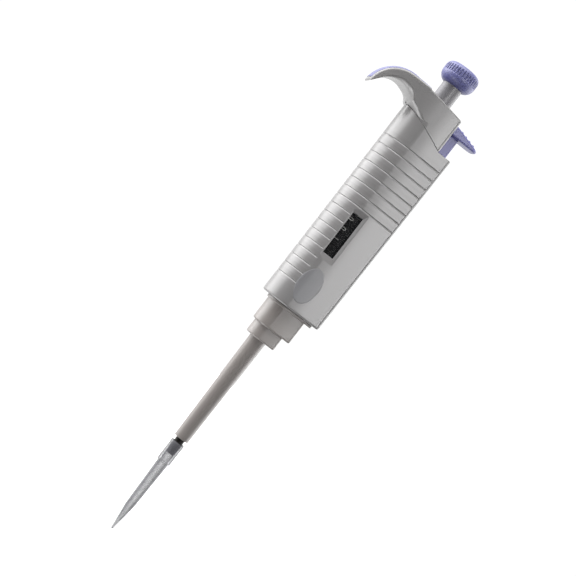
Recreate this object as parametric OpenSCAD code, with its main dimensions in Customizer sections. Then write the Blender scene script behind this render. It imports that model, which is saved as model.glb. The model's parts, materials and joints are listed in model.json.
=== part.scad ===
// Adjustable air-displacement micropipette with a tip ejector and a three-drum volume counter.
// The origin is the centre of the tip's orifice. +Z runs up the plunger axis to the knob,
// +X points to the ejector and -X to the finger hook, and the volume window faces -Y.

/* [Handle] */
// Radius of the round side and half the front-to-back depth
body_r = 12.9; // [12.6:0.1:13.4]
// Distance from the plunger axis to the flat side, at its top
flat_x = 19.2; // [19:0.1:20]
// How much nearer the flat side is at its bottom
side_draft = 1.2; // [0:0.1:1.4]
// Wall thickness of the shells
wall = 1.6; // [1.4:0.1:1.7]
// Height of the handle's underside
handle_bottom = 132.4; // [132.2:0.1:132.6]
// Height of the deck that the ejector button slides through
deck_z = 231.9; // [231.5:0.1:232.3]

/* [Grip grooves] */
// Number of grooves that run round to the flat side's corner
long_grooves = 8; // [1:1:8]
// Number of grooves on the round side only
short_grooves = 9; // [1:1:9]
// Distance from groove to groove
groove_pitch = 5.03; // [4.6:0.01:5.1]
// Height of the topmost groove
groove_top = 224.6; // [223:0.1:226]
// Depth of a groove
groove_depth = 0.4; // [0.2:0.05:0.6]
// Width of a groove
groove_w = 0.9; // [0.5:0.1:1.4]

/* [Volume window] */
// Width of the opening
window_w = 5.6; // [5:0.1:6.4]
// Height of the opening
window_h = 22.9; // [22.5:0.1:23.2]
// Height of the opening's lower edge
window_z = 162.9; // [162.6:0.1:163.2]
// Width of the bevelled recess around it
bevel_w = 8.2; // [7.4:0.1:9]
// Height of the bevelled recess
bevel_h = 29.5; // [26:0.1:31]

/* [Finger hook] */
// Front-to-back width of the hook where it leaves the body
hook_root_w = 22; // [18:0.5:23]
// Front-to-back width of the hook at its end
hook_end_w = 13; // [10:0.5:15]
// Radius of the hook's outer arch
arch_r = 15.8; // [15.4:0.1:16.2]
// Radius of the finger space under the hook
finger_r = 10.4; // [10:0.1:10.8]
// Thickness of the coloured inlay
inlay_t = 1.0; // [0.6:0.1:1.4]

/* [Plunger] */
// Radius of the knob
knob_r = 9.0; // [8.6:0.1:9.6]
// Height of the knob
knob_h = 10.6; // [10.2:0.1:11]
// Radius of the stem under the knob
stem_r = 5.15; // [5:0.05:5.3]
// Height of the knob's underside
knob_z = 261.1; // [261:0.1:262]
// Volume stroke from the rest position to the first stop
volume_stroke = 6.0; // [5:0.1:6]
// Further travel that blows out the last drop
blowout_stroke = 2.0; // [1.5:0.1:2]
// Radius of the piston
piston_r = 2.3; // [2.2:0.05:2.35]

/* [Counter] */
// Radius of the number drums
drum_r = 10.2; // [9.8:0.1:10.3]
// Height of one drum
drum_h = 5.5; // [5.2:0.1:5.6]

/* [Ejector] */
// Full travel of the ejector
eject_stroke = 9.5; // [9:0.1:10]
// Distance from the plunger axis to the ejector rod
rod_x = 13.4; // [13.2:0.1:13.5]
// Front-to-back width of the ejector button's stem
button_w = 9; // [7:0.5:10]
// Front-to-back width of the thumb lever
lever_w = 13; // [11:0.5:15]

/* [Disposable tip] */
// Radius of the orifice
orifice_r = 0.28; // [0.2:0.02:0.3]
// Radius of the tip's collar
collar_r = 3.5; // [3.4:0.1:3.6]
// Length of the tip
tip_h = 50.9; // [50.7:0.1:51.2]

/* [Hidden] */
$fn = 64;
eps = 0.01;
big = 80;
run_fit = 0.05;
slide_gap = 0.3;
travel = volume_stroke + blowout_stroke;

// handle shells
corner_r = 1.8;
inner_r = body_r - wall;
cap_x = 11.7;
floor_t = 2.5;
floor_top = handle_bottom + floor_t;
low_cavity_x = 16.2;
top_cavity_x = 17.6;
cavity_step_z = 206;
deck_t = 1.6;
draft_angle = atan(side_draft / (deck_z - handle_bottom));
long_groove_end = 17.2;
short_groove_end = -3.5;

// parting plane between the handle and its cap, and the cap's sloping top
parting_angle = 21.3;
top_left = [-8.9, 252.7];
top_angle = 8.3;
boss_r = 8.2;
boss_z = 238;
cap_roof = 247.6;

// finger hook, in the XZ plane
arch_centre = [-18.5, 238.4];
finger_centre = [-21.9, 236.9];
hook_end = [-33.7, 239.6];
hook_end_r = 0.7;
hook_root_x = -6.5;
inlay_margin = 1.2;
inlay_end_x = -9.2;
inlay_start = 172;

// window lens
bevel_depth = 0.9;
lens_lip = 0.9;
lens_lip_t = 0.35;
lens_back = -10.55;

// nozzle, seals and piston
nozzle_end = 44.4;
nozzle_end_r = 2.0;
nozzle_shoulder = 53.4;
nozzle_shoulder_r = 2.5;
nozzle_tube_r = 3.0;
barrel_z = 114.2;
barrel_r = 5.5;
barrel_top = 140;
chamber_r = 4.6;
chamber_z = 116;
air_bore_r = 0.8;
cylinder_z = 60;
seal_t = 2;
ring_wire_r = 1.1;
retainer_z = chamber_z + seal_t + 2 * ring_wire_r;
retainer_t = 2.8;
piston_end = 70;
head_r = 4.3;
head_z = 148.2;
head_flange_z = 154.2;
head_flange_r = 7;
head_flange_t = 1.8;
piston_top = 151;

// base bush, nozzle nut and blow-out stop
base_r = 9.5;
base_flange_t = 2.1;
base_hole_r = 7;
nut_t = 3.2;
nozzle_nut_r = 8.5;
plate_z = 146;
plate_t = 2;
plate_r = 8.2;
plate_bore = 4.8;

// counter
cell = window_h / 4;
plate_low_z = 157;
plate_thick = 2.5;
plate_high_z = 190;
arbor_r = 5;
arbor_bore = 3.2;
arbor_top = 185.2;
hub_r = 8;
hub_t = 3;
pinion_xy = [11.6, 6.9];
pinion_r = 3.0;
pinion_teeth = 8;
pinion_h = 4;
shaft_r = 0.9;

// spindle, setting nut and its guide
spindle_r = 2;
spindle_z = 153.1;
spindle_neck_top = 156.4;
spindle_pin_r = 1.2;
spindle_top = 258;
guide_r = 10.2;
guide_bore = 8.7;
guide_top = 226;
nut_z = 208;
nut_h = 8;
nut_r = 8.4;
key_w = 3;
key_r = 9.6;
stop_z = 222;
stop_t = 3;

// stem, bush and knob
stem_z = 240;
stem_top = knob_z + 5;
bush_r = 6.6;
bush_z = 239;
rib_count = 36;
rib_z = 5.0;
rib_h = 3.6;
rib_depth = 0.5;
rib_w = 0.75;

// ejector
rod_r = 1.25;
rod_top = 226;
foot_z = 217;
button_left = 12.0;
button_right = 17.3;
button_top = 248;
lever_rest_gap = 1.4;
lever_under = deck_z + eject_stroke + lever_rest_gap;
lever_end = [26.9, 243.6];
lever_end_r = 0.8;
bump_r = 0.7;
clip_z = 152;
clip_t = 1.5;
clip_r = 2.4;
flange_z = 131;
flange_t = 0.9;
upper_collar_z = 119.2;
lower_collar_z = 112.3;
sleeve_z = 53.2;
sleeve_top_r = 4.4;
sleeve_end_r = 3.8;
sleeve_bore = 3.3;

// disposable tip
tip_collar_z = 39.5;
tip_neck_z = 14;

// ---- shared shapes -------------------------------------------------------------------------

// Round on the -X side, flat on +X, with rounded corners there
module d_shape(radius, flat, corner = corner_r) {
    intersection() {
        circle(r = radius);
        translate([-radius, -radius]) square([radius, 2 * radius]);
    }
    translate([0, -radius]) square([flat - corner, 2 * radius]);
    translate([0, corner - radius]) square([flat, 2 * (radius - corner)]);
    for (side = [-1, 1])
        translate([flat - corner, side * (radius - corner)]) circle(r = corner);
}

module d_prism(radius, flat, low, high, corner = corner_r) {
    translate([0, 0, low]) linear_extrude(high - low) d_shape(radius, flat, corner);
}

module tube(outer, inner, low, high) {
    translate([0, 0, low]) difference() {
        cylinder(r = outer, h = high - low);
        translate([0, 0, -1]) cylinder(r = inner, h = high - low + 2);
    }
}

module disc(radius, low, high) {
    translate([0, 0, low]) cylinder(r = radius, h = high - low);
}

// A profile drawn in X and Z, extruded equally to the front and back
module xz_extrude(width) {
    rotate([90, 0, 0]) linear_extrude(width, center = true) children();
}

// Everything above, or below, a plane through a point in XZ that falls towards +X by an angle
module above_plane(point, angle) {
    translate([point[0], 0, point[1]]) rotate([0, angle, 0])
        translate([-big, -big, 0]) cube([2 * big, 2 * big, big]);
}

module below_plane(point, angle) {
    translate([point[0], 0, point[1]]) rotate([0, angle, 0])
        translate([-big, -big, -big]) cube([2 * big, 2 * big, big]);
}

// Helical wire from a low to a high end, closed at both ends
module coil_spring(mean_r, wire_r, low, high, turns) {
    sides = 8;
    rings = 16 * turns;
    rise = high - low - 2 * wire_r;
    points = [
        for (i = [0:rings], k = [0:sides - 1])
            let (a = 360 * turns * i / rings, b = 360 * k / sides, r = mean_r + wire_r * cos(b))
                [r * cos(a), r * sin(a), low + wire_r + rise * i / rings + wire_r * sin(b)]
    ];
    walls = [
        for (i = [0:rings - 1], k = [0:sides - 1])
            let (next = (k + 1) % sides)
                [i * sides + k, (i + 1) * sides + k, (i + 1) * sides + next, i * sides + next]
    ];
    start = [for (k = [0:sides - 1]) k];
    finish = [for (k = [sides - 1:-1:0]) rings * sides + k];
    polyhedron(points = points, faces = concat(walls, [start], [finish]), convexity = 10);
}

// ---- handle and cap ------------------------------------------------------------------------

parting_point = [cap_x, deck_z];

module grip_groove(index) {
    end_x = index < long_grooves ? long_groove_end : short_groove_end;
    translate([0, 0, groove_top - index * groove_pitch - groove_w / 2])
        linear_extrude(groove_w) difference() {
            translate([-big, -big]) square([big + end_x, 2 * big]);
            d_shape(body_r - groove_depth, flat_x);
        }
}

module window_cut() {
    middle = window_z + window_h / 2;
    translate([-window_w / 2, -body_r - 1, window_z]) cube([window_w, wall + 2, window_h]);
    hull() {
        translate([-bevel_w / 2, -body_r - eps, middle - bevel_h / 2]) cube([bevel_w, eps, bevel_h]);
        translate([-window_w / 2, -body_r + bevel_depth, window_z]) cube([window_w, eps, window_h]);
    }
}

module handle() {
    color("darkgray") difference() {
        intersection() {
            d_prism(body_r, flat_x, handle_bottom, deck_z + 20);
            union() {
                translate([-big, -big, 0]) cube([2 * big, 2 * big, deck_z]);
                intersection() {
                    translate([-big, -big, deck_z - 1]) cube([big + cap_x, 2 * big, 30]);
                    below_plane(parting_point, parting_angle);
                }
            }
        }
        translate([flat_x, 0, deck_z]) rotate([0, draft_angle, 0])
            translate([0, -big, -big * 2]) cube([big, 2 * big, big * 3]);
        d_prism(inner_r, low_cavity_x, floor_top, cavity_step_z + eps, corner_r - 0.6);
        d_prism(inner_r, top_cavity_x, cavity_step_z, deck_z - deck_t, corner_r - 0.6);
        d_prism(inner_r, cap_x - wall, deck_z - deck_t - eps, deck_z + 20, corner_r - 0.6);
        translate([button_left - slide_gap / 2, -button_w / 2 - slide_gap / 2, deck_z - deck_t - 1])
            cube([button_right - button_left + slide_gap, button_w + slide_gap, deck_t + 2]);
        disc(base_hole_r, handle_bottom - 1, floor_top + 1);
        translate([rod_x, 0, 0]) disc(rod_r + slide_gap / 2, handle_bottom - 1, floor_top + 1);
        for (i = [0:long_grooves + short_grooves - 1]) grip_groove(i);
        window_cut();
    }
}

// The crescent of the finger hook, running into the cap's sloping top
module hook_outline() {
    difference() {
        union() {
            intersection() {
                translate(arch_centre) circle(r = arch_r);
                translate([-big, hook_end[1]]) square([big + arch_centre[0], big]);
            }
            polygon([
                [arch_centre[0], arch_centre[1] + arch_r], top_left,
                [top_left[0], deck_z], [arch_centre[0], deck_z]
            ]);
            translate(hook_end) circle(r = hook_end_r);
        }
        translate(finger_centre) circle(r = finger_r);
        polygon([
            [-29.9, 243.5], [hook_end[0] + hook_end_r, hook_end[1]],
            [hook_end[0] + hook_end_r, deck_z - 2], [finger_centre[0], deck_z - 2]
        ]);
    }
}

// A strip along the hook's arch and on along its tangent, to a small step at the cap
function arch_point(radius, angle) = arch_centre + radius * [cos(angle), sin(angle)];

module inlay_outline(proud = 0) {
    tangent = 90 - top_angle;
    steps = 40;
    turn = (inlay_start - tangent) / steps;
    outer_r = arch_r + proud;
    under_r = arch_r - inlay_t;
    polygon(concat(
        [for (i = [0:steps]) arch_point(outer_r, inlay_start - i * turn)],
        [for (r = [outer_r, under_r])
            let (start = arch_point(r, tangent))
                [inlay_end_x, start[1] - (inlay_end_x - start[0]) * tan(top_angle)]],
        [for (i = [steps:-1:0]) arch_point(under_r, inlay_start - i * turn)]
    ));
}

// The hook, or its inlay, tapers towards its end when seen from above
module hook_prism(margin = 0) {
    end_x = hook_end[0] - hook_end_r;
    root_y = hook_root_w / 2 - margin;
    end_y = hook_end_w / 2 - margin;
    intersection() {
        xz_extrude(2 * body_r) children();
        translate([0, 0, deck_z - 1]) linear_extrude(big) polygon([
            [end_x - 1, -end_y], [hook_root_x, -root_y], [0, -root_y],
            [0, root_y], [hook_root_x, root_y], [end_x - 1, end_y]
        ]);
    }
}

module top_cap() {
    color("darkgray") difference() {
        union() {
            intersection() {
                d_prism(body_r, cap_x, deck_z, deck_z + 30);
                above_plane(parting_point, parting_angle);
                below_plane(top_left, top_angle);
            }
            intersection() {
                hook_prism() hook_outline();
                union() {
                    above_plane(parting_point, parting_angle);
                    translate([-big - body_r, -big, deck_z]) cube([big, 2 * big, big]);
                }
            }
        }
        difference() {
            d_prism(inner_r, cap_x - wall, deck_z - 1, cap_roof, corner_r - 0.6);
            disc(boss_r, boss_z, cap_roof + 1);
        }
        disc(bush_r, deck_z - 1, cap_roof);
        disc(stem_r + slide_gap / 2, deck_z - 1, deck_z + 40);
        hook_prism(inlay_margin) inlay_outline(1);
    }
}

module hook_inlay() {
    color("mediumpurple") hook_prism(inlay_margin) inlay_outline();
}

module window_lens() {
    front = bevel_depth - body_r + 0.1;
    color("lightcyan") {
        translate([-window_w / 2, front, window_z]) cube([window_w, lens_back - front, window_h]);
        translate([-window_w / 2, lens_back - lens_lip_t, window_z - lens_lip])
            cube([window_w, lens_lip_t, window_h + 2 * lens_lip]);
    }
}

module handle_base() {
    color("dimgray") {
        tube(base_hole_r, barrel_r, handle_bottom, floor_top);
        tube(base_r, barrel_r, floor_top, floor_top + base_flange_t);
    }
}

// ---- nozzle, seals and piston --------------------------------------------------------------

module nozzle() {
    color("black") difference() {
        union() {
            translate([0, 0, nozzle_end]) cylinder(
                r1 = nozzle_end_r, r2 = nozzle_shoulder_r, h = nozzle_shoulder - nozzle_end
            );
            disc(nozzle_tube_r, nozzle_shoulder, barrel_z + 1);
            disc(barrel_r, barrel_z, barrel_top);
        }
        disc(air_bore_r, nozzle_end - 1, cylinder_z + 1);
        disc(piston_r + run_fit, cylinder_z, chamber_z + 1);
        disc(chamber_r, chamber_z, barrel_top + 1);
        for (z = [tip_h + 0.5, tip_h + 1.4])
            tube(nozzle_shoulder_r + 1, nozzle_shoulder_r - 0.25, z, z + 0.4);
    }
}

module nozzle_nut() {
    color("silver") difference() {
        translate([0, 0, floor_top + base_flange_t]) cylinder(r = nozzle_nut_r, h = nut_t, $fn = 6);
        disc(barrel_r, floor_top, barrel_top + 2);
    }
}

module piston_seal() {
    color("white") tube(chamber_r, piston_r + run_fit, chamber_z, chamber_z + seal_t);
}

module o_ring() {
    color("black") translate([0, 0, chamber_z + seal_t + ring_wire_r])
        rotate_extrude() translate([(chamber_r + piston_r) / 2, 0])
            circle(r = ring_wire_r - run_fit / 2);
}

module seal_retainer() {
    color("ivory") tube(chamber_r, piston_r + 0.2, retainer_z, retainer_z + retainer_t);
}

module piston_spring() {
    color("silver") coil_spring(3.5, 0.4, retainer_z + retainer_t, head_z, 9);
}

module piston() {
    color("silver") disc(piston_r, piston_end, piston_top);
}

module piston_head() {
    color("gold") difference() {
        union() {
            disc(head_r, head_z, head_flange_z + 1);
            disc(head_flange_r, head_flange_z, head_flange_z + head_flange_t);
        }
        disc(piston_r, head_z - 1, piston_top);
        disc(spindle_pin_r + run_fit, piston_top - 1, head_flange_z + head_flange_t + 1);
    }
}

module blowout_plate() {
    color("silver") tube(plate_r, plate_bore, plate_z, plate_z + plate_t);
}

module blowout_spring() {
    color("silver") coil_spring(6.4, 0.5, floor_top + base_flange_t + nut_t, plate_z, 3);
}

// ---- counter -------------------------------------------------------------------------------

module counter_plate(low) {
    difference() {
        d_prism(inner_r, low_cavity_x, low, low + plate_thick, corner_r - 0.6);
        disc(spindle_r + slide_gap, low - 1, low + plate_thick + 1);
        translate([rod_x, 0, 0]) disc(rod_r + slide_gap / 2, low - 1, low + plate_thick + 1);
        translate(pinion_xy) disc(shaft_r, low - 1, low + plate_thick + 1);
    }
}

module counter_base_plate() {
    color("dimgray") counter_plate(plate_low_z);
}

module counter_top_plate() {
    color("dimgray") counter_plate(plate_high_z);
}

// Fixed hollow axle that the drums turn on
module counter_arbor() {
    color("ivory") {
        tube(arbor_r, arbor_bore, plate_low_z + plate_thick, arbor_top);
        tube(drum_r - 2, arbor_bore, plate_low_z + plate_thick, window_z - slide_gap);
    }
}

function cell_low(index) = window_z + index * cell + (cell - drum_h) / 2;

module drum(index, clearance) {
    color("black") translate([0, 0, cell_low(index)]) rotate_extrude() difference() {
        translate([arbor_r + clearance, 0]) square([drum_r - arbor_r - clearance, drum_h]);
        translate([arbor_r + 1.4, drum_h - 1.4]) square([drum_r - arbor_r - 3, 2]);
    }
}

module drum_spacer() { drum(0, 0); }

module drum_hundreds() { drum(1, run_fit); }

module drum_tens() { drum(2, run_fit); }

module drum_units() { drum(3, run_fit); }

// Turns with the spindle, which slides through it, and carries the units drum
module drive_hub() {
    low = cell_low(3) + drum_h;
    color("ivory") tube(hub_r, spindle_r + run_fit, low, low + hub_t);
}

module carry_shaft() {
    color("silver") translate(pinion_xy) disc(shaft_r, plate_low_z, plate_high_z + plate_thick);
}

// Transfer pinion between two neighbouring drums
module carry_pinion(index) {
    middle = window_z + index * cell;
    color("ivory") translate([pinion_xy[0], pinion_xy[1], middle - pinion_h / 2])
        linear_extrude(pinion_h) difference() {
            union() {
                circle(r = pinion_r - 1);
                for (i = [0:pinion_teeth - 1]) rotate(360 * i / pinion_teeth)
                    translate([0, -0.45]) square([pinion_r - 0.1, 0.9]);
            }
            circle(r = shaft_r + run_fit);
        }
}

module carry_pinion_tens() { carry_pinion(3); }

module carry_pinion_hundreds() { carry_pinion(2); }

// ---- spindle and volume setting ------------------------------------------------------------

module spindle() {
    color("silver") {
        disc(spindle_pin_r, spindle_z, spindle_neck_top);
        disc(spindle_r, spindle_neck_top, spindle_top);
    }
}

// Climbs the spindle as the knob turns, kept from turning by two keys
module setting_nut() {
    color("gold") difference() {
        union() {
            disc(nut_r, nut_z, nut_z + nut_h);
            translate([-key_r, -key_w / 2, nut_z]) cube([2 * key_r, key_w, nut_h]);
        }
        disc(spindle_r + run_fit, nut_z - 1, nut_z + nut_h + 1);
    }
}

module nut_guide() {
    color("dimgray") difference() {
        tube(guide_r, guide_bore, plate_high_z + plate_thick, guide_top);
        translate([-key_r - slide_gap, -key_w / 2 - slide_gap / 2, nut_z - travel - 1])
            cube([2 * (key_r + slide_gap), key_w + slide_gap, stop_z - nut_z + travel + 1]);
    }
}

module stop_ring() {
    color("silver") tube(guide_bore, stem_r + 0.35, stop_z, stop_z + stop_t);
}

module stem_bush() {
    color("ivory") tube(bush_r, stem_r + run_fit, bush_z, cap_roof);
}

module button_stem() {
    color("gainsboro") difference() {
        disc(stem_r, stem_z, stem_top);
        disc(spindle_r, stem_z - 1, spindle_top);
    }
}

module knob_outline() {
    skirt_r = 4.9;
    edge_r = 3.2;
    intersection() {
        union() {
            square([knob_r - skirt_r, knob_h - edge_r]);
            translate([knob_r - skirt_r, skirt_r]) circle(r = skirt_r);
            translate([0, skirt_r]) square([knob_r, knob_h - edge_r - skirt_r]);
            translate([knob_r - edge_r, knob_h - edge_r]) circle(r = edge_r);
            translate([0, knob_h - edge_r]) square([knob_r - edge_r, edge_r]);
        }
        square([knob_r + 1, knob_h]);
    }
}

module knob() {
    color("mediumpurple") translate([0, 0, knob_z]) difference() {
        rotate_extrude() knob_outline();
        translate([0, 0, -1]) cylinder(r = stem_r, h = stem_top - knob_z + 1);
        for (i = [0:rib_count - 1]) rotate(360 * i / rib_count)
            translate([knob_r - rib_depth, -rib_w / 2, rib_z]) cube([2, rib_w, rib_h]);
    }
}

// ---- ejector -------------------------------------------------------------------------------

module lever_outline() {
    slope = (button_top - lever_end[1] - lever_end_r) / (lever_end[0] - button_left);
    polygon([
        [button_left, lever_under], [button_left, button_top],
        [lever_end[0], lever_end[1] + lever_end_r], [lever_end[0], lever_under]
    ]);
    translate(lever_end) circle(r = lever_end_r);
    for (i = [0:3])
        translate([16.2 + 2.6 * i, button_top - slope * (4.2 + 2.6 * i) - 0.2]) circle(r = bump_r);
}

module ejector_button() {
    color("mediumpurple") difference() {
        union() {
            translate([button_left, -button_w / 2, foot_z])
                cube([button_right - button_left, button_w, lever_under - foot_z + 1]);
            xz_extrude(lever_w) lever_outline();
        }
        translate([rod_x, 0, 0]) disc(rod_r, foot_z - 1, rod_top);
    }
}

module ejector_rod() {
    color("silver") translate([rod_x, 0, 0]) disc(rod_r, flange_z, rod_top);
}

module rod_clip() {
    color("silver") translate([rod_x, 0, 0]) tube(clip_r, rod_r, clip_z, clip_z + clip_t);
}

module ejector_spring() {
    color("silver") translate([rod_x, 0, 0]) coil_spring(1.85, 0.3, floor_top, clip_z, 11);
}

module ejector_sleeve() {
    color("lightgray") difference() {
        union() {
            d_prism(9.2, 15.3, flange_z, flange_z + flange_t, 1.5);
            d_prism(8.4, 11.8, upper_collar_z, flange_z, 1.5);
            d_prism(7.0, 8.1, lower_collar_z, upper_collar_z, 1.5);
            translate([0, 0, sleeve_z])
                cylinder(r1 = sleeve_end_r, r2 = sleeve_top_r, h = lower_collar_z - sleeve_z);
        }
        disc(sleeve_bore, sleeve_z - 1, lower_collar_z + 2);
        disc(barrel_r + slide_gap, lower_collar_z + 1.2, upper_collar_z + 1);
        disc(7.2, upper_collar_z + 0.8, flange_z + 2);
        translate([rod_x, 0, 0]) disc(rod_r, flange_z - 1, flange_z + 2);
    }
}

// ---- disposable tip ------------------------------------------------------------------------

module tip() {
    neck_r = 2.2;
    body_top_r = 2.85;
    point_r = 0.5;
    color("white", 0.6) difference() {
        union() {
            cylinder(r1 = point_r, r2 = neck_r, h = tip_neck_z);
            translate([0, 0, tip_neck_z])
                cylinder(r1 = neck_r, r2 = body_top_r, h = tip_collar_z - tip_neck_z);
            disc(collar_r, tip_collar_z, tip_h);
        }
        disc(orifice_r, -1, 3);
        translate([0, 0, 2]) cylinder(r1 = orifice_r, r2 = neck_r - 0.5, h = tip_neck_z - 2);
        translate([0, 0, tip_neck_z - eps])
            cylinder(r1 = neck_r - 0.5, r2 = body_top_r - 0.65, h = tip_collar_z - tip_neck_z + eps);
        translate([0, 0, tip_collar_z - eps])
            cylinder(r1 = body_top_r - 0.65, r2 = nozzle_shoulder_r + run_fit, h = tip_h - tip_collar_z + 1);
    }
}

handle();
top_cap();
hook_inlay();
window_lens();
handle_base();
nozzle();
nozzle_nut();
piston_seal();
o_ring();
seal_retainer();
piston_spring();
piston();
piston_head();
blowout_plate();
blowout_spring();
counter_base_plate();
counter_top_plate();
counter_arbor();
drum_spacer();
drum_hundreds();
drum_tens();
drum_units();
drive_hub();
carry_shaft();
carry_pinion_tens();
carry_pinion_hundreds();
spindle();
setting_nut();
nut_guide();
stop_ring();
stem_bush();
button_stem();
knob();
ejector_button();
ejector_rod();
rod_clip();
ejector_spring();
ejector_sleeve();
tip();
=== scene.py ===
"""Looks of the adjustable micropipette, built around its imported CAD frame.

Shapes are worked out in millimetres. Materials, camera, light and floor use Blender's metres.
"""

import json
import math

import bmesh
import bpy
import numpy as np
from mathutils import Matrix, Vector


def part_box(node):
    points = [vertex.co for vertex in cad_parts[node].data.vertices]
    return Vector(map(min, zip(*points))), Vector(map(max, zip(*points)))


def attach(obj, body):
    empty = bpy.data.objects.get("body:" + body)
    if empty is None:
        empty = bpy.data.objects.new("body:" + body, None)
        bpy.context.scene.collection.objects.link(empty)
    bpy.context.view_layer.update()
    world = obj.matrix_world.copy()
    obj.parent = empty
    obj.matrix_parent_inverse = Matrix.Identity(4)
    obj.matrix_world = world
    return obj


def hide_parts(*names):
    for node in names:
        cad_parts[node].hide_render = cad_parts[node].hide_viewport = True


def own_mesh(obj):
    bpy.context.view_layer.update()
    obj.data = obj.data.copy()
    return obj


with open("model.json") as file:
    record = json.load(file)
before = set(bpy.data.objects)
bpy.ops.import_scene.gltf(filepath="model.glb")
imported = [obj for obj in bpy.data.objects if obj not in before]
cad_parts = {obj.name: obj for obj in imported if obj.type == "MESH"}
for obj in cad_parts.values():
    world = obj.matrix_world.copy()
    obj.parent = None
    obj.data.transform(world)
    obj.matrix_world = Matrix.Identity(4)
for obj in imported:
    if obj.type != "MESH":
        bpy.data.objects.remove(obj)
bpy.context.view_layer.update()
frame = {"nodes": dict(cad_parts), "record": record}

MM = 0.001


def node_box(node):
    """Lowest and highest corner of a CAD node, in millimetres."""
    low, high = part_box(node)
    return [c / MM for c in low], [c / MM for c in high]


handle_low, handle_high = node_box("handle")
cap_low, cap_high = node_box("top_cap")
sleeve_low, sleeve_high = node_box("ejector_sleeve")
knob_low, knob_high = node_box("knob")
button_low, button_high = node_box("ejector_button")
lens_low, lens_high = node_box("window_lens")
rod_low, rod_high = node_box("ejector_rod")

# Sizes that several pieces share. The body is round towards -X and flat on +X.
BODY_R = handle_high[1]
WALL = 1.6
INNER_R = BODY_R - WALL
CORNER_R = 1.8
HANDLE_BOTTOM = handle_low[2]
# Deck beside the ejector, and the handle's +X face at the deck with its draft down to the bottom
DECK_Z = 231.9
FLAT_TOP = handle_high[0]
SIDE_DRAFT = 1.2
# +X face of the cap
CAP_X = 11.7
ROD_X = (rod_low[0] + rod_high[0]) / 2
STEM_R = node_box("button_stem")[1][0]
DRUM_R = node_box("drum_units")[1][0]
TIP_TOP = node_box("tip")[1][2]
# Room left round a shell when its field is sampled
MARGIN = 0.8


# ---- solid shapes as distance fields ---------------------------------------------------------


def round_max(a, b, r):
    """Intersection of two fields with its edge rounded to radius r."""
    u, v = np.maximum(a + r, 0), np.maximum(b + r, 0)
    return np.minimum(-r, np.maximum(a, b)) + np.sqrt(u * u + v * v)


def blend_min(a, b, k):
    """Union of two fields with a fillet of about k."""
    h = np.clip(0.5 + 0.5 * (b - a) / k, 0, 1)
    return b * (1 - h) + a * h - k * h * (1 - h)


def d_field(x, y, radius, flat, corner=CORNER_R):
    """Section that is round towards -X and flat on +X, with rounded corners there."""
    qx, qy = x - (flat - corner), np.abs(y) - (radius - corner)
    right = np.minimum(np.maximum(qx, qy), 0) - corner
    right = right + np.sqrt(np.maximum(qx, 0) ** 2 + np.maximum(qy, 0) ** 2)
    return np.where(x < 0, np.sqrt(x * x + y * y) - radius, right)


def slab(v, low, high):
    return np.maximum(low - v, v - high)


def box_field(x, y, z, low, high, r):
    """Box between two corners with its edges rounded."""
    q = [
        np.abs(v - (a + b) / 2) - (b - a) / 2 + r
        for v, a, b in zip((x, y, z), low, high)
    ]
    outside = np.sqrt(sum(np.maximum(c, 0) ** 2 for c in q))
    return outside + np.minimum(np.maximum(np.maximum(q[0], q[1]), q[2]), 0) - r


def radius_of(x, y):
    return np.sqrt(x * x + y * y)


def smooth_step(v, low, high):
    t = np.clip((v - low) / (high - low), 0, 1)
    return t * t * (3 - 2 * t)


NORMAL_DELTA = 0.07
SETTLE_DELTA = 0.02
SETTLE_PASSES = 4
LEAST_SLOPE = 0.2
CELL_CORNERS = [(i, j, k) for i in (0, 1) for j in (0, 1) for k in (0, 1)]
CELL_EDGES = [
    (a, b)
    for a in CELL_CORNERS
    for b in CELL_CORNERS
    if sum(abs(p - q) for p, q in zip(a, b)) == 1 and a < b
]


def surface_net(field, low, high, steps):
    """Quad mesh of the field's zero surface: one point per cell that it crosses, moved onto it."""
    steps = np.array(steps, float)
    axes = [np.arange(a, b + s, s) for a, b, s in zip(low, high, steps)]
    value = field(*np.meshgrid(*axes, indexing="ij", sparse=True)).astype(np.float64)
    inside = value < 0
    shape = [n - 1 for n in value.shape]
    count = np.zeros(shape, np.int8)
    for i, j, k in CELL_CORNERS:
        count += inside[i : i + shape[0], j : j + shape[1], k : k + shape[2]]
    cells = np.argwhere((count > 0) & (count < len(CELL_CORNERS)))
    total, crossings = np.zeros((len(cells), 3)), np.zeros(len(cells))
    for a, b in CELL_EDGES:
        va = value[tuple((cells + a).T)]
        vb = value[tuple((cells + b).T)]
        cross = (va < 0) != (vb < 0)
        t = np.where(cross, va / np.where(cross, va - vb, 1), 0)[:, None]
        point = np.array(a) + t * (np.array(b) - np.array(a))
        total += np.where(cross[:, None], point, 0)
        crossings += cross
    verts = np.array(low) + (cells + total / crossings[:, None]) * steps
    verts = onto_surface(field, verts, steps.min())
    index = np.full(shape, -1, np.int64)
    index[tuple(cells.T)] = np.arange(len(cells))
    faces = []
    for axis in range(3):
        u, v = [n for n in range(3) if n != axis]
        here = [slice(None)] * 3
        there = [slice(None)] * 3
        here[axis], there[axis] = slice(None, -1), slice(1, None)
        change = inside[tuple(here)] != inside[tuple(there)]
        at = np.argwhere(change)
        at = at[(at[:, u] > 0) & (at[:, v] > 0)]
        at = at[(at[:, u] < shape[u]) & (at[:, v] < shape[v])]
        corner = np.zeros((4, 3), int)
        corner[1, u] = corner[2, u] = corner[2, v] = corner[3, v] = -1
        ring = [index[tuple((at + c).T)] for c in corner]
        quad = np.stack(ring, axis=1)
        flip = inside[tuple(at.T)] == (axis == 1)
        quad[flip] = quad[flip][:, ::-1]
        faces.append(quad)
    return verts, np.concatenate(faces)


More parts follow.
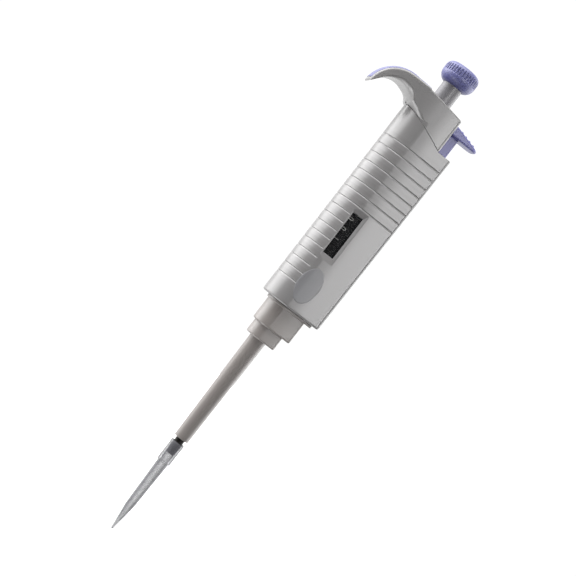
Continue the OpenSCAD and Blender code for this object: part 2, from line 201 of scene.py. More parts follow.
def field_slope(field, verts, delta):
    x, y, z = verts.T
    return np.stack(
        [
            field(x + delta, y, z) - field(x - delta, y, z),
            field(x, y + delta, z) - field(x, y - delta, z),
            field(x, y, z + delta) - field(x, y, z - delta),
        ],
        axis=1,
    ) / (2 * delta)


def onto_surface(field, verts, step):
    """Moves points along the field's slope onto its zero surface, by one step at most."""
    start = verts.copy()
    for _ in range(SETTLE_PASSES):
        value = field(*verts.T)
        slope = field_slope(field, verts, SETTLE_DELTA)
        size = np.maximum((slope**2).sum(axis=1), LEAST_SLOPE)
        verts = verts - slope * (value / size)[:, None]
    moved = verts - start
    far = np.linalg.norm(moved, axis=1, keepdims=True)
    return start + moved * np.minimum(1, step / np.maximum(far, 1e-9))


# ---- meshes ----------------------------------------------------------------------------------

WELD = 1e-7


def place(name, mesh, material, body):
    """Puts a finished mesh into the scene, riding on a body."""
    mesh.materials.append(material)
    piece = bpy.data.objects.new(name, mesh)
    bpy.context.scene.collection.objects.link(piece)
    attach(piece, body)
    return piece


def add_mesh(name, verts, faces, material, body, sharp_deg=50):
    """A smooth-shaded piece from points in millimetres, riding on a body."""
    mesh = bpy.data.meshes.new(name)
    mesh.from_pydata((np.asarray(verts) * MM).tolist(), [], [list(f) for f in faces])
    mesh.validate()
    fix = bmesh.new()
    fix.from_mesh(mesh)
    bmesh.ops.remove_doubles(fix, verts=fix.verts, dist=WELD)
    bmesh.ops.recalc_face_normals(fix, faces=fix.faces)
    fix.to_mesh(mesh)
    fix.free()
    mesh.shade_smooth()
    mesh.set_sharp_from_angle(angle=math.radians(sharp_deg))
    return place(name, mesh, material, body)


def field_piece(name, field, low, high, steps, material, body):
    """A piece meshed from its field, shaded with the field's own slope."""
    verts, faces = surface_net(field, low, high, steps)
    slope = field_slope(field, verts, NORMAL_DELTA)
    normals = slope / np.maximum(np.linalg.norm(slope, axis=1, keepdims=True), 1e-6)
    a, b, c, d = [verts[faces[:, i]] for i in range(4)]
    facing = (np.cross(c - a, d - b) * normals[faces].sum(axis=1)).sum(axis=1)
    faces[facing < 0] = faces[facing < 0][:, ::-1]
    mesh = bpy.data.meshes.new(name)
    mesh.from_pydata((verts * MM).tolist(), [], faces.tolist())
    mesh.shade_smooth()
    mesh.normals_split_custom_set_from_vertices(normals.tolist())
    return place(name, mesh, material, body)


def arc(cx, cz, radius, start_deg, end_deg, count):
    """Points along an arc in (radius, height)."""
    turns = [math.radians(start_deg + (end_deg - start_deg) * i / count) for i in range(count + 1)]
    return [(cx + radius * math.cos(a), cz + radius * math.sin(a)) for a in turns]


def revolve(name, profile, segments, material, body, shape=None, sharp_deg=40):
    """Turns a closed (radius, height) outline about Z. shape(angle, r, z) may change the radius."""
    verts, faces, rows = [], [], len(profile)
    for s in range(segments):
        a = 2 * math.pi * s / segments
        for r, z in profile:
            rr = shape(a, r, z) if shape else r
            verts.append((rr * math.cos(a), rr * math.sin(a), z))
    for s in range(segments):
        t = (s + 1) % segments
        for i in range(rows):
            j = (i + 1) % rows
            faces.append((s * rows + i, t * rows + i, t * rows + j, s * rows + j))
    return add_mesh(name, verts, faces, material, body, sharp_deg)


# ---- materials -------------------------------------------------------------------------------

PLASTIC_IOR = 1.49
DRIFT_SCALE = 90
GRAIN_SCALE = 5200
GRAIN_HEIGHT = 0.00004
GLOSS_DRIFT = 0.01
STREAKS = (2500, 2500, 60)
METAL_ROUGHNESS = 0.28


def new_material(name):
    material = bpy.data.materials.new(name)
    material.use_nodes = True
    tree = material.node_tree
    shader = tree.nodes["Principled BSDF"]
    return material, tree, shader


def noise(tree, scale, detail, rough=0.5):
    place = tree.nodes.new("ShaderNodeTexCoord")
    node = tree.nodes.new("ShaderNodeTexNoise")
    node.inputs["Scale"].default_value = scale
    node.inputs["Detail"].default_value = detail
    node.inputs["Roughness"].default_value = rough
    tree.links.new(place.outputs["Object"], node.inputs["Vector"])
    return node


def ramp(tree, source, low, high, low_value, high_value):
    node = tree.nodes.new("ShaderNodeMapRange")
    node.inputs["From Min"].default_value = low
    node.inputs["From Max"].default_value = high
    node.inputs["To Min"].default_value = low_value
    node.inputs["To Max"].default_value = high_value
    tree.links.new(source, node.inputs["Value"])
    return node.outputs["Result"]


def mix_colour(tree, factor, a, b):
    node = tree.nodes.new("ShaderNodeMix")
    node.data_type = "RGBA"
    tree.links.new(factor, node.inputs["Factor"])
    node.inputs["A"].default_value = (*a, 1)
    node.inputs["B"].default_value = (*b, 1)
    return node.outputs["Result"]


def bump(tree, shader, height, strength, distance):
    node = tree.nodes.new("ShaderNodeBump")
    node.inputs["Strength"].default_value = strength
    node.inputs["Distance"].default_value = distance
    tree.links.new(height, node.inputs["Height"])
    tree.links.new(node.outputs["Normal"], shader.inputs["Normal"])


def plastic(name, colour, roughness, grain, spread, shine=0.5):
    """Moulded plastic: fine spark-eroded grain, slow colour drift and uneven gloss."""
    material, tree, shader = new_material(name)
    drift = noise(tree, DRIFT_SCALE, 4).outputs["Fac"]
    fine = noise(tree, GRAIN_SCALE, 2, 0.6).outputs["Fac"]
    dark = [c * (1 - spread) for c in colour]
    light = [c * (1 + spread) for c in colour]
    tree.links.new(mix_colour(tree, drift, dark, light), shader.inputs["Base Color"])
    gloss = ramp(tree, drift, 0, 1, roughness - GLOSS_DRIFT, roughness + GLOSS_DRIFT)
    tree.links.new(gloss, shader.inputs["Roughness"])
    shader.inputs["IOR"].default_value = PLASTIC_IOR
    shader.inputs["Specular IOR Level"].default_value = shine
    bump(tree, shader, fine, grain, GRAIN_HEIGHT)
    return material


def metal(name, colour):
    """Drawn metal with fine streaks along Z."""
    material, tree, shader = new_material(name)
    place = tree.nodes.new("ShaderNodeTexCoord")
    stretch = tree.nodes.new("ShaderNodeMapping")
    stretch.inputs["Scale"].default_value = STREAKS
    tree.links.new(place.outputs["Object"], stretch.inputs["Vector"])
    lines = tree.nodes.new("ShaderNodeTexNoise")
    lines.inputs["Scale"].default_value = 1.0
    lines.inputs["Detail"].default_value = 3
    tree.links.new(stretch.outputs["Vector"], lines.inputs["Vector"])
    shader.inputs["Metallic"].default_value = 1.0
    dark = [c * 0.86 for c in colour]
    tone = ramp(tree, lines.outputs["Fac"], 0.3, 0.7, 0, 1)
    tree.links.new(mix_colour(tree, tone, dark, colour), shader.inputs["Base Color"])
    gloss = ramp(tree, lines.outputs["Fac"], 0.3, 0.7, METAL_ROUGHNESS, METAL_ROUGHNESS + 0.16)
    tree.links.new(gloss, shader.inputs["Roughness"])
    bump(tree, shader, lines.outputs["Fac"], 0.15, 0.00003)
    return material


def rubber(name, colour):
    material, tree, shader = new_material(name)
    speckle = noise(tree, 3000, 4)
    dark = [c * 0.7 for c in colour]
    tone = ramp(tree, speckle.outputs["Fac"], 0.3, 0.7, 0, 1)
    tree.links.new(mix_colour(tree, tone, dark, colour), shader.inputs["Base Color"])
    shader.inputs["Roughness"].default_value = 0.7
    bump(tree, shader, speckle.outputs["Fac"], 0.3, 0.00005)
    return material


def clear(name, colour, edge_shade_colour, roughness, alpha, edge_alpha, shine):
    """See-through moulding with a faint haze, less clear where it is seen edge-on, with painted
    shade: its colour darkens where it is seen edge-on.
    """
    material, tree, shader = new_material(name)
    haze = noise(tree, 260, 4)
    facing = tree.nodes.new("ShaderNodeLayerWeight").outputs["Facing"]
    # Painted shade: the base colour darkens towards the edge colour as the surface turns edge-on to
    # the view.
    tree.links.new(mix_colour(tree, facing, colour, edge_shade_colour), shader.inputs["Base Color"])
    gloss = ramp(tree, haze.outputs["Fac"], 0.0, 1.0, roughness, roughness * 1.2)
    tree.links.new(gloss, shader.inputs["Roughness"])
    tree.links.new(ramp(tree, facing, 0, 1, alpha, edge_alpha), shader.inputs["Alpha"])
    shader.inputs["IOR"].default_value = PLASTIC_IOR
    shader.inputs["Specular IOR Level"].default_value = shine
    return material


SHELL = plastic("shell_grey", (0.22, 0.215, 0.215), 0.262, 0.08, 0.01, 0.8)
STEM = plastic("stem_grey", (0.18, 0.175, 0.185), 0.38, 0.08, 0.01, 0.6)
LAVENDER = plastic("lavender", (0.115, 0.118, 0.285), 0.42, 0.06, 0.012, 0.8)
# Lighter copy of the lavender for the lever: painted light, standing in for the light the lever
# catches.
LAVENDER_LIT_COPY = plastic("lavender_lever_lit_copy", (0.15, 0.148, 0.36), 0.38, 0.08, 0.012, 0.7)
SLEEVE = plastic("sleeve_grey", (0.235, 0.215, 0.205), 0.32, 0.08, 0.01, 0.7)
BLACK = plastic("nozzle_black", (0.007, 0.006, 0.005), 0.45, 0.2, 0.15, 0.2)
DRUM = plastic("drum_black", (0.006, 0.0055, 0.0055), 0.55, 0.05, 0.15, 0.1)
DIGIT = plastic("digit_white", (0.48, 0.48, 0.46), 0.5, 0.1, 0.04, 0.3)
DARK = plastic("dark_polymer", (0.05, 0.05, 0.055), 0.45, 0.3, 0.1)
ACETAL = plastic("acetal", (0.70, 0.68, 0.60), 0.35, 0.15, 0.04)
SEAL = plastic("seal_white", (0.80, 0.80, 0.77), 0.5, 0.2, 0.04)
LABEL = plastic("label_grey", (0.215, 0.215, 0.225), 0.36, 0.1, 0.01, 0.6)
RUBBER = rubber("o_ring_rubber", (0.02, 0.02, 0.02))
STEEL = metal("steel", (0.60, 0.60, 0.61))
BRASS = metal("brass", (0.75, 0.56, 0.26))
# The second colour of the lens and of the tip is painted shade for where they are seen edge-on.
LENS = clear("lens", (0.05, 0.055, 0.06), (0.03, 0.03, 0.035), 0.02, 0.08, 0.3, 0.4)
TIP = clear("tip_clear", (0.26, 0.26, 0.285), (0.06, 0.06, 0.065), 0.5, 0.33, 0.85, 0.0)

NODE_MATERIALS = {
    "shell_grey": SHELL,
    "stem_grey": STEM,
    "lavender": LAVENDER,
    "sleeve_grey": SLEEVE,
    "nozzle_black": BLACK,
    "drum_black": DRUM,
    "dark_polymer": DARK,
    "acetal": ACETAL,
    "seal_white": SEAL,
    "o_ring_rubber": RUBBER,
    "steel": STEEL,
    "brass": BRASS,
    "lens": LENS,
    "tip_clear": TIP,
}


def paint_cad_nodes():
    """Gives every CAD node the procedural material of its slot."""
    slots = {row["node"]: row["material_slot"] for row in frame["record"]["subparts"]}
    for node, piece in frame["nodes"].items():
        material = NODE_MATERIALS[slots[node]]
        piece.data.materials.clear()
        piece.data.materials.append(material)


# ---- handle ----------------------------------------------------------------------------------

# Parting plane between handle and cap
PARTING_DEG = 21.3
SEAM = 0.02
# Grip grooves, counted from the top: the long ones run on over the flat part
GROOVES = 17
LONG_GROOVES = 8
LONG_END_X, SHORT_END_X = 17.6, -3.4
GROOVE_TOP = 224.6
GROOVE_PITCH = 5.03
GROOVE_DEPTH = 0.3
GROOVE_RISE, GROOVE_FLAT, GROOVE_FALL = 0.58, 0.04, 0.16
GROOVE_REACH = 3
CROWN = 0.06
# Window over the counter and its bevel
WINDOW_LOW, WINDOW_HIGH = lens_low[2] + 0.9, lens_high[2] - 0.9
WINDOW_HALF = lens_high[0]
WINDOW_BACK = -5.0
BEVEL = 1.3
BEVEL_DEPTH = 0.9
BEVEL_STRETCH = 2.2
# Slope of the front and back walls towards +X, and where and how slowly it sets in
LEAN = 0.055
LEAN_START = 1.8
LEAN_X = 6.0
# Hollow inside
CAVITY_STEP_Z = 206
CAVITY_LOW_X, CAVITY_HIGH_X = 16.2, 17.4
CAVITY_CORNER_R = CORNER_R - 0.6
HANDLE_FLOOR = 2.5
FLOOR_HOLE_DEPTH = 4
BASE_HOLE_R = 7.0
ROD_HOLE_R = 1.4
BUTTON_SLOT = ((11.85, -4.65, 228), (17.45, 4.65, 240))
# Sampling of the field: spacing along each axis, and the height where it stops
HANDLE_GRID = (0.31, 0.31, 0.17)
HANDLE_TOP = 243.5


def above_parting(x, z):
    """Positive above the sloping plane where the cap meets the handle."""
    a = math.radians(PARTING_DEG)
    return (z - DECK_Z) * math.cos(a) + (x - CAP_X) * math.sin(a)


def groove_depth(x, z):
    """Depth of the grip grooves, with a slight crown between them."""
    index = np.clip(np.round((GROOVE_TOP - z) / GROOVE_PITCH), 0, GROOVES - 1)
    offset = z - (GROOVE_TOP - index * GROOVE_PITCH)
    rise = np.clip((offset + GROOVE_RISE) / GROOVE_RISE, 0, 1)
    fall = np.clip(1 - (offset - GROOVE_FLAT) / GROOVE_FALL, 0, 1)
    end = np.where(index < LONG_GROOVES, LONG_END_X, SHORT_END_X)
    crown = CROWN * np.clip(np.abs(offset) / GROOVE_PITCH * 2, 0, 1) ** 2
    crown = np.where(np.abs(offset) <= GROOVE_PITCH / 2, CROWN - crown, 0)
    cut = np.maximum(GROOVE_DEPTH * rise * fall, 0) + crown
    return cut * (1 - smooth_step(x, end - 0.6, end + 0.3))


def lean(x):
    """How far the front and back walls draw in towards the +X face."""
    t = np.maximum(x - LEAN_START, 0)
    return np.where(t < LEAN_X, t * t / (2 * LEAN_X), t - LEAN_X / 2) * LEAN


def window_field(x, y, z):
    """Opening over the counter, bevelled outwards."""
    grow = BEVEL * (1 - np.clip((y + BODY_R) / BEVEL_DEPTH, 0, 1))
    across = np.abs(x) - WINDOW_HALF - grow
    along = slab(z, WINDOW_LOW, WINDOW_HIGH) - grow * BEVEL_STRETCH
    return np.maximum(np.maximum(across, along) * 0.6, y - WINDOW_BACK)


def handle_cavity(x, y, z):
    """Hollow of the handle above its floor, stepped along the +X wall."""
    flat = np.where(z < CAVITY_STEP_Z, CAVITY_LOW_X, CAVITY_HIGH_X)
    flat = np.where(z > DECK_Z - WALL, CAP_X - WALL, flat)
    hollow = d_field(x, y, INNER_R, flat, CAVITY_CORNER_R)
    return np.maximum(hollow, HANDLE_BOTTOM + HANDLE_FLOOR - z)


def floor_holes(x, y, z):
    """Holes in the floor for the base and the ejector rod."""
    holes = np.minimum(radius_of(x, y) - BASE_HOLE_R, radius_of(x - ROD_X, y) - ROD_HOLE_R)
    return np.maximum(holes, z - HANDLE_BOTTOM - FLOOR_HOLE_DEPTH)


def handle_field(x, y, z):
    flat = FLAT_TOP - SIDE_DRAFT * (DECK_Z - z) / (DECK_Z - HANDLE_BOTTOM)
    wall_side = d_field(x, np.abs(y) + lean(x), BODY_R, flat)
    near = np.abs(wall_side) < GROOVE_REACH
    wall_side = np.where(near, wall_side + groove_depth(x, z), wall_side)
    top = np.where(x > CAP_X, z - DECK_Z, above_parting(x, z) + SEAM)
    shell = round_max(wall_side, top, 0.14)
    shell = round_max(shell, HANDLE_BOTTOM - z, 1.0)
    shell = np.maximum(shell, -handle_cavity(x, y, z))
    shell = round_max(shell, -box_field(x, y, z, *BUTTON_SLOT, 0.4), 0.15)
    shell = np.maximum(shell, -floor_holes(x, y, z))
    return round_max(shell, -window_field(x, y, z), 0.12)


def make_handle():
    low = (-BODY_R - MARGIN, -BODY_R - MARGIN, HANDLE_BOTTOM - MARGIN)
    high = (FLAT_TOP + MARGIN, BODY_R + MARGIN, HANDLE_TOP)
    piece = field_piece("handle_shell", handle_field, low, high, HANDLE_GRID, SHELL, "handle")
    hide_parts("handle")


# ---- cap, hook and inlay ---------------------------------------------------------------------

# Sloping top plane of the cap
TOP_DEG = 8.3
TOP_POINT = (-8.9, 252.7)
# Hook: circle of its back, circle for the finger, straight underside of its nose, its end
ARCH = (-18.5, 238.4)
ARCH_R = 15.8
FINGER = (-22.0, 236.8)
FINGER_R = 10.25
NOSE = (-29.9, 243.5)
NOSE_X = -29.5
NOSE_SLOPE = 1.258
NOSE_NORMAL = (0.783, 0.622)
HOOK_END_Z = 239.6
HOOK_ROOT_X = 3
# The hook is free of the handle where x is below this
FREE_X = -12.9
# Height of the hook's rounded lower edge along x
EDGE_X = (-35.0, -31.0, -26.0, -20.4, -13.0, -8.2, -2.4, 2.0)
EDGE_HEIGHT = (0.5, 0.9, 1.6, 2.3, 2.5, 2.2, 2.0, 2.0)
# The underside narrows from here to FREE_X, and the edge's section is softest from here on
NARROW_X = -19.0
SOFT_X = -9.0
# How fast the hook narrows as seen from above
PLAN_CURVE = 0.0053
# How far the edge's foot stands in from the handle's wall, and where that fades out
RECESS = 0.75
RECESS_FADE = (-10.0, -1.5)
# Crown across the hook's back: it sets in between these distances from the axis
HOOK_CROWN = 0.0124
CROWN_HALF = 6.0
CROWN_FADE = (9.0, 20.0)
# Fillet between cap and hook
FILLET_LEAST, FILLET_MORE = 0.02, 1.6
FILLET_FADE = (8.0, 12.5)
# The hook's arch and its strip end here, towards the knob
STEP_X = -9.0
# Any field value that counts as well inside
WELL_INSIDE = -9.0
# Hollow of the cap
CAP_CEILING = 247.6
BOSS_R, BOSS_Z = 8.2, 238
BUSH_R = 6.6
STEM_GAP = 0.15
INLAY_MARGIN = 1.15
CAP_GRID = (0.27,) * 3
FINE_GRID = (0.25,) * 3


def slope_field(x, z, point, degrees):
    """Distance above a plane that falls towards +X."""
    a = math.radians(degrees)
    return (z - point[1]) * math.cos(a) + (x - point[0]) * math.sin(a)


def arch_field(x, z):
    """Above the hook's arch, and above its tangent beyond the top."""
    a = math.radians(TOP_DEG)
    dx, dz = x - ARCH[0], z - ARCH[1]
    along = dx * math.cos(a) - dz * math.sin(a)
    ring = np.sqrt(dx * dx + dz * dz) - ARCH_R
    plane = dx * math.sin(a) + dz * math.cos(a) - ARCH_R
    return np.where(along > 0, plane, ring)


def crowned_arch(x, y, z):
    """The arch with its top rounded from front to back towards the hook's end."""
    crown = HOOK_CROWN * (y * y - CROWN_HALF**2)
    return arch_field(x, z) + crown * smooth_step(-x, *CROWN_FADE)


def hook_under(x):
    """Height of the hook's underside: its straight nose, the finger circle, the parting plane."""
    dx = np.clip(x - FINGER[0], -FINGER_R * 0.995, FINGER_R * 0.995)
    circle = FINGER[1] + np.sqrt(FINGER_R**2 - dx * dx)
    nose = NOSE[1] + (x - NOSE[0]) * NOSE_SLOPE
    circle = np.where(x < NOSE_X, np.minimum(nose, circle), circle)
    parting = DECK_Z + (CAP_X - x) * math.tan(math.radians(PARTING_DEG))
    return np.where(x < FREE_X, circle, parting)


def hook_half_width(x):
    return BODY_R - PLAN_CURVE * np.minimum(x + 1, 0) ** 2 - lean(x)


def hook_limit(x, z):
    """Half-width of the hook at a height: narrow along its underside, full above the edge."""
    full = hook_half_width(x)
    height = np.interp(x, EDGE_X, EDGE_HEIGHT)
    body = np.sqrt(np.maximum(BODY_R**2 - np.minimum(x, 0) ** 2, 0))
    body = body - RECESS * (1 - smooth_step(x, *RECESS_FADE))
    free = (full - height) * (1 - smooth_step(x, NARROW_X, FREE_X))
    base = np.where(x < FREE_X, free, np.minimum(body, full))
    t = np.clip((z - hook_under(x)) / height, 0, 1)
    quarter = np.sqrt(1 - (1 - t) ** 2 * 0.999)
    soft = t * (2 - t)
    share = smooth_step(x, FREE_X, SOFT_X)
    return base + (full - base) * (quarter + (soft - quarter) * share)


def hook_side(x, y, z):
    step = 0.1
    limit = hook_limit(x, z)
    along = (hook_limit(x + step, z) - hook_limit(x - step, z)) / (2 * step)
    rise = (hook_limit(x, z + step) - hook_limit(x, z - step)) / (2 * step)
    return (np.abs(y) - limit) / np.sqrt(1 + along * along + rise * rise)


def hook_field(x, y, z):
    over = np.where(x < STEP_X, crowned_arch(x, y, z), slope_field(x, z, TOP_POINT, TOP_DEG))
    under = (hook_under(x) - z) * 0.8
    circle = FINGER_R - np.sqrt((x - FINGER[0]) ** 2 + (z - FINGER[1]) ** 2)
    nose = (x - NOSE[0]) * NOSE_NORMAL[0] - (z - NOSE[1]) * NOSE_NORMAL[1]
    circle = np.where(x < NOSE_X, np.maximum(circle, nose), circle)
    under = np.where(x < FREE_X, circle, under)
    body = round_max(under, hook_side(x, y, z), 0.4)
    body = round_max(body, over, 0.85)
    body = np.maximum(body, x - HOOK_ROOT_X)
    return round_max(body, HOOK_END_Z - 0.7 - z, 0.5)


def inlay_field(x, y, z, grow=0.0):
    over = crowned_arch(x, y, z)
    layer = slab(over, -1.0, 0.22)
    side = np.abs(y) - hook_half_width(x) + INLAY_MARGIN
    ends = np.maximum(x - STEP_X, HOOK_END_Z + 1.0 - z)
    return round_max(round_max(layer, side, 0.35), ends, 0.3) - grow


def cap_cavity(x, y, z):
    """Hollow of the cap round its boss, and the bush's seat in the boss."""
    hollow = d_field(x, y, INNER_R, CAP_X - WALL, CAVITY_CORNER_R)
    boss = np.maximum(radius_of(x, y) - BOSS_R, BOSS_Z - z)
    hollow = np.maximum(np.maximum(hollow, z - CAP_CEILING), -boss)
    return np.minimum(hollow, np.maximum(radius_of(x, y) - BUSH_R, z - CAP_CEILING))


def cap_field(x, y, z):
    top = slope_field(x, z, TOP_POINT, TOP_DEG)
    block = round_max(d_field(x, np.abs(y) + lean(x), BODY_R, CAP_X), top, 0.6)
    hook = hook_field(x, y, z)
    fillet = FILLET_LEAST + FILLET_MORE * smooth_step(-x, *FILLET_FADE)
    cap = np.maximum(blend_min(block, hook, fillet), hook_side(x, y, z))
    parting = np.where(x < FREE_X - 0.3, WELL_INSIDE, SEAM - above_parting(x, z))
    cap = round_max(cap, parting, 0.12)
    cap = np.maximum(cap, -cap_cavity(x, y, z))
    cap = round_max(cap, -(radius_of(x, y) - STEM_R - STEM_GAP), 0.25)
    return np.maximum(cap, -inlay_field(x, y, z, 0.03))


def make_cap():
    low = (cap_low[0] - MARGIN, -BODY_R - MARGIN, DECK_Z - 1)
    high = (CAP_X + MARGIN, BODY_R + MARGIN, cap_high[2] + 1)
    piece = field_piece("cap_with_hook", cap_field, low, high, CAP_GRID, SHELL, "handle")
    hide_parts("top_cap")
    strip = field_piece("hook_strip", inlay_field, low, high, FINE_GRID, LAVENDER, "handle")
    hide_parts("hook_inlay")


# ---- knob ------------------------------------------------------------------------------------

KNOB_SLOTS = 36
SLOT_SAMPLES = 12
SLOT_DEPTH = 0.5
KNOB_SKIRT_R, KNOB_EDGE_R = 4.9, 3.2
KNOB_SOCKET = 4.5


def make_knob():
    low, high, radius = knob_low[2], knob_high[2], knob_high[0]
    skirt, edge = KNOB_SKIRT_R, KNOB_EDGE_R
    profile = [(STEM_R - 0.05, low + KNOB_SOCKET), (STEM_R - 0.05, low + 0.35)]
    profile += arc(radius - skirt, low + skirt, skirt, -76, 0, 18)
    profile += [(radius, low + 5.0 + 0.3 * i) for i in range(9)]
    profile += arc(radius - edge, high - edge, edge, 0, 84, 16)
    profile += [(r, high) for r in (5.4, 3.6, 1.8, 0.001)]
    profile += [(0.001, low + KNOB_SOCKET)]
    slot_low, slot_high = low + 4.9, low + 8.5

    def slotted(angle, r, z):
        across = abs(((angle * KNOB_SLOTS / (2 * math.pi)) % 1.0) - 0.5) * 2
        slot = 1 - smooth_step(across, 0.12, 0.62)
        level = smooth_step(z, slot_low - 0.15, slot_low + 0.25)
        level = level * (1 - smooth_step(z, slot_high - 0.3, slot_high + 0.1))
        return r - SLOT_DEPTH * slot * level if r > radius - 2.5 else r

    segments = KNOB_SLOTS * SLOT_SAMPLES
    piece = revolve("knob_cap", profile, segments, LAVENDER, "knob", slotted, 55)
    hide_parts("knob")


# ---- ejector ---------------------------------------------------------------------------------

LEVER_END = (26.9, 243.6)
LEVER_END_R = 0.8
LEVER_HALF, LEVER_CORNER_R = 6.5, 3.5
BUTTON_STEM_X, BUTTON_STEM_HALF, BUTTON_STEM_TOP = 17.3, 4.5, 244.2
BUMPS = [16.2 + 2.6 * i for i in range(4)]
BUMP_R, BUMP_HALF, BUMP_SUNK = 0.85, 5.0, 0.3
ROD_FIT_R, ROD_FIT_TOP = 1.3, 226.2


def lever_plan(x, side):
    """Outline of the lever from above, square at the cap and rounded at its free end."""
    plan_x = x - (LEVER_END[0] + LEVER_END_R - LEVER_CORNER_R)
    plan_y = side - (LEVER_HALF - LEVER_CORNER_R)
    plan = np.minimum(np.maximum(plan_x, plan_y), 0) - LEVER_CORNER_R
    plan = plan + np.sqrt(np.maximum(plan_x, 0) ** 2 + np.maximum(plan_y, 0) ** 2)
    return np.maximum(plan, button_low[0] - x)


def button_field(x, y, z):
    left, top = button_low[0], button_high[2]
    side = np.abs(y) + LEAN * (x - left)
    stem_low = (left, -BUTTON_STEM_HALF, button_low[2])
    stem_high = (BUTTON_STEM_X, BUTTON_STEM_HALF, BUTTON_STEM_TOP)
    stem = box_field(x, side, z, stem_low, stem_high, 0.5)
    fall = math.degrees(math.atan2(top - LEVER_END[1] - LEVER_END_R, LEVER_END[0] - left))
    over = slope_field(x, z, (left, top), fall)
    under = LEVER_END[1] - LEVER_END_R - z
    lever = round_max(round_max(under, lever_plan(x, side), 1.0), over, 0.7)
    slope = math.tan(math.radians(fall))
    for bump_x in BUMPS:
        bump_z = top - slope * (bump_x - left) - BUMP_SUNK
        ridge = radius_of(x - bump_x, z - bump_z) - BUMP_R
        lever = blend_min(lever, round_max(ridge, np.abs(y) - BUMP_HALF, 0.4), 0.35)
    button = blend_min(stem, lever, 0.9)
    rod_hole = np.maximum(radius_of(x - ROD_X, y) - ROD_FIT_R, z - ROD_FIT_TOP)
    return np.maximum(button, -rod_hole)


def make_button():
    low = (button_low[0] - 0.6, -7.2, button_low[2] - 0.6)
    high = (button_high[0] + 0.6, 7.2, button_high[2] + 0.8)
    piece = field_piece("ejector_lever", button_field, low, high, FINE_GRID, LAVENDER_LIT_COPY, "ejector")
    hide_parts("ejector_button")


# Each step of the sleeve: lowest height, radius and flat side of its section
FLANGE_Z, FLANGE_R, FLANGE_X = 131.0, 9.2, 15.3
UPPER_Z, UPPER_R, UPPER_X = 119.2, 8.4, 11.8
LOWER_Z, LOWER_R, LOWER_X = 112.3, 7.0, 8.1
FLANGE_GAP = 0.08
COLLAR_CORNER_R = 1.2
WELL_R, LOWER_WELL_R = 7.2, 5.8
TUBE_R, TUBE_END_R, SLEEVE_BORE = 4.4, 3.8, 3.3
TUBE_SEGMENTS = 160


def sleeve_field(x, y, z):
    side = np.abs(y) + lean(x)
    flange = d_field(x, y, FLANGE_R, FLANGE_X, 1.5)
    flange = round_max(flange, slab(z, FLANGE_Z, HANDLE_BOTTOM - FLANGE_GAP), 0.2)
    upper = d_field(x, side, UPPER_R, UPPER_X, COLLAR_CORNER_R)
    upper = round_max(upper, slab(z, UPPER_Z, FLANGE_Z + 0.3), 0.7)
    lower = d_field(x, side, LOWER_R, LOWER_X, COLLAR_CORNER_R)
    lower = round_max(lower, slab(z, LOWER_Z, UPPER_Z + 1), 0.7)
    sleeve = blend_min(blend_min(flange, upper, 0.3), lower, 0.35)
    bore = radius_of(x, y) - SLEEVE_BORE
    step = np.maximum(radius_of(x, y) - LOWER_WELL_R, LOWER_Z + 1.2 - z)
    well = np.maximum(radius_of(x, y) - WELL_R, UPPER_Z + 0.8 - z)
    rod = np.maximum(radius_of(x - ROD_X, y) - ROD_FIT_R, FLANGE_Z - 1 - z)
    inside = np.minimum(np.minimum(bore, step), np.minimum(well, rod))
    return np.maximum(sleeve, -inside)


def make_sleeve():
    low = (-10, -10, LOWER_Z - 0.6)
    high = (16, 10, sleeve_high[2] + 0.6)
    collars = field_piece("sleeve_collars", sleeve_field, low, high, FINE_GRID, SLEEVE, "ejector")
    end, inner = sleeve_low[2], SLEEVE_BORE + 0.02
    profile = [(inner, end + 0.15), (inner + 0.12, end), (TUBE_END_R - 0.15, end)]
    profile += [(TUBE_END_R - 0.04, end + 0.05), (TUBE_END_R, end + 0.2)]
    profile += [(TUBE_R, LOWER_Z - 0.4), (TUBE_R + 0.1, LOWER_Z - 0.12)]
    profile += [(TUBE_R + 0.4, LOWER_Z + 0.05), (TUBE_R + 0.4, LOWER_Z + 0.5)]
    profile += [(inner, LOWER_Z + 0.5)]
    tube = revolve("sleeve_tube", profile, TUBE_SEGMENTS, SLEEVE, "ejector")
    for piece in (collars, tube):
        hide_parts("ejector_sleeve")


# ---- tip -------------------------------------------------------------------------------------

TIP_RIBS = 20
COLLAR_Z, NECK_Z = 39.5, 14.0
COLLAR_R = 3.42
RIB_HEIGHT = 0.08


def make_tip():
    outer = [(0.40, 0.0), (0.55, 0.06), (0.6, 0.2), (1.25, 5.6), (1.8, 10.4), (2.13, 13.2)]
    outer += [(2.2, NECK_Z), (2.22, NECK_Z + 0.8), (2.5, 26), (2.83, COLLAR_Z - 0.5)]
    outer += [(2.9, COLLAR_Z - 0.1), (3.35, COLLAR_Z + 0.05), (3.48, COLLAR_Z + 0.35)]
    outer += [(COLLAR_R, COLLAR_Z + 1.3), (COLLAR_R, TIP_TOP - 1.6), (3.5, TIP_TOP - 1.3)]
    outer += [(3.5, TIP_TOP - 0.15), (3.4, TIP_TOP)]
    inner = [(2.62, TIP_TOP), (2.5, TIP_TOP - 0.4), (2.42, 48.0), (2.3, 44.0), (2.22, 41.2)]
    inner += [(2.05, 40.9), (2.2, COLLAR_Z - 0.6), (2.15, 38.4), (1.72, NECK_Z)]
    inner += [(0.9, 6.4), (0.30, 2.0), (0.28, 0.1)]

    def ribbed(angle, r, z):
        if r != COLLAR_R:
            return r
        return r + RIB_HEIGHT * (0.5 + 0.5 * math.cos(angle * TIP_RIBS)) ** 2

    piece = revolve("clear_tip", outer + inner, TIP_RIBS * 8, TIP, "tip", ribbed, 35)
    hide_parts("tip")


# ---- springs ---------------------------------------------------------------------------------

SPRING_SIDES = 10
SPRING_STEPS = 32


